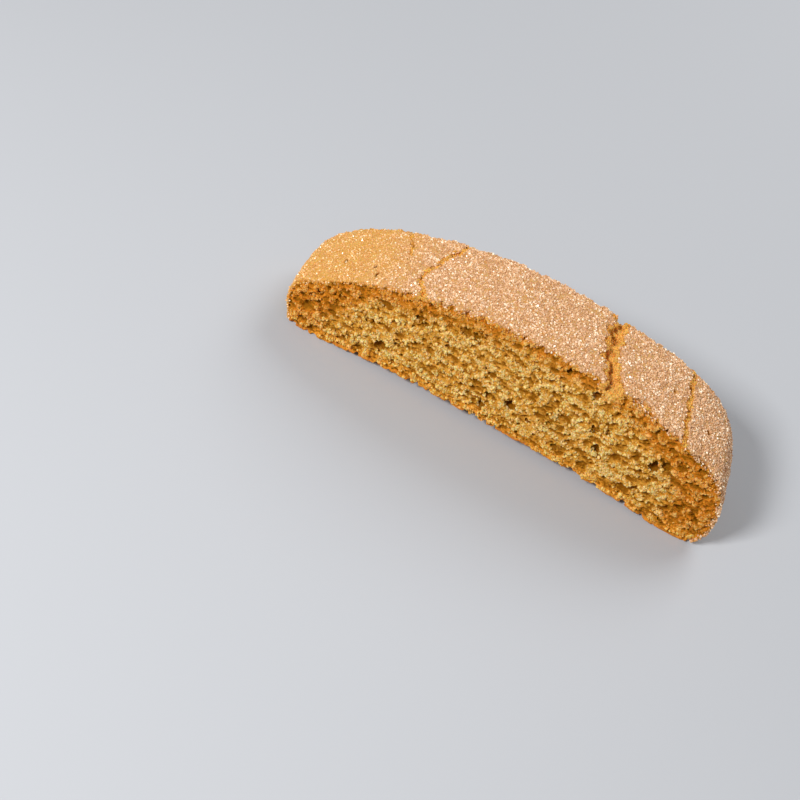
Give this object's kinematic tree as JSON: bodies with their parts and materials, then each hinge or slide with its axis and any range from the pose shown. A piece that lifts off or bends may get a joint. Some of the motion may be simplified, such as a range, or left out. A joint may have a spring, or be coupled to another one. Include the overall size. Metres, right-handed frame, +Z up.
{
  "type": "biscotto",
  "caption": "Slice of twice-baked biscuit with a domed, cracked, sugared top crust, two flat porous cut faces and a gently arched baked base.",
  "frame": {"origin": "middle of the slice's length and thickness, at the level of the baked base", "axes": "+X along the slice, -Y out of the front cut face, +Z up from the base to the domed top crust"},
  "size_m": [0.1218, 0.0264, 0.0341],
  "materials": {
    "baked_biscuit": "matt baked biscuit: a sugared golden crust and a paler crumb"
  },
  "bodies": {
    "root": {"biscotto": "baked_biscuit"}
  },
  "joints": []
}
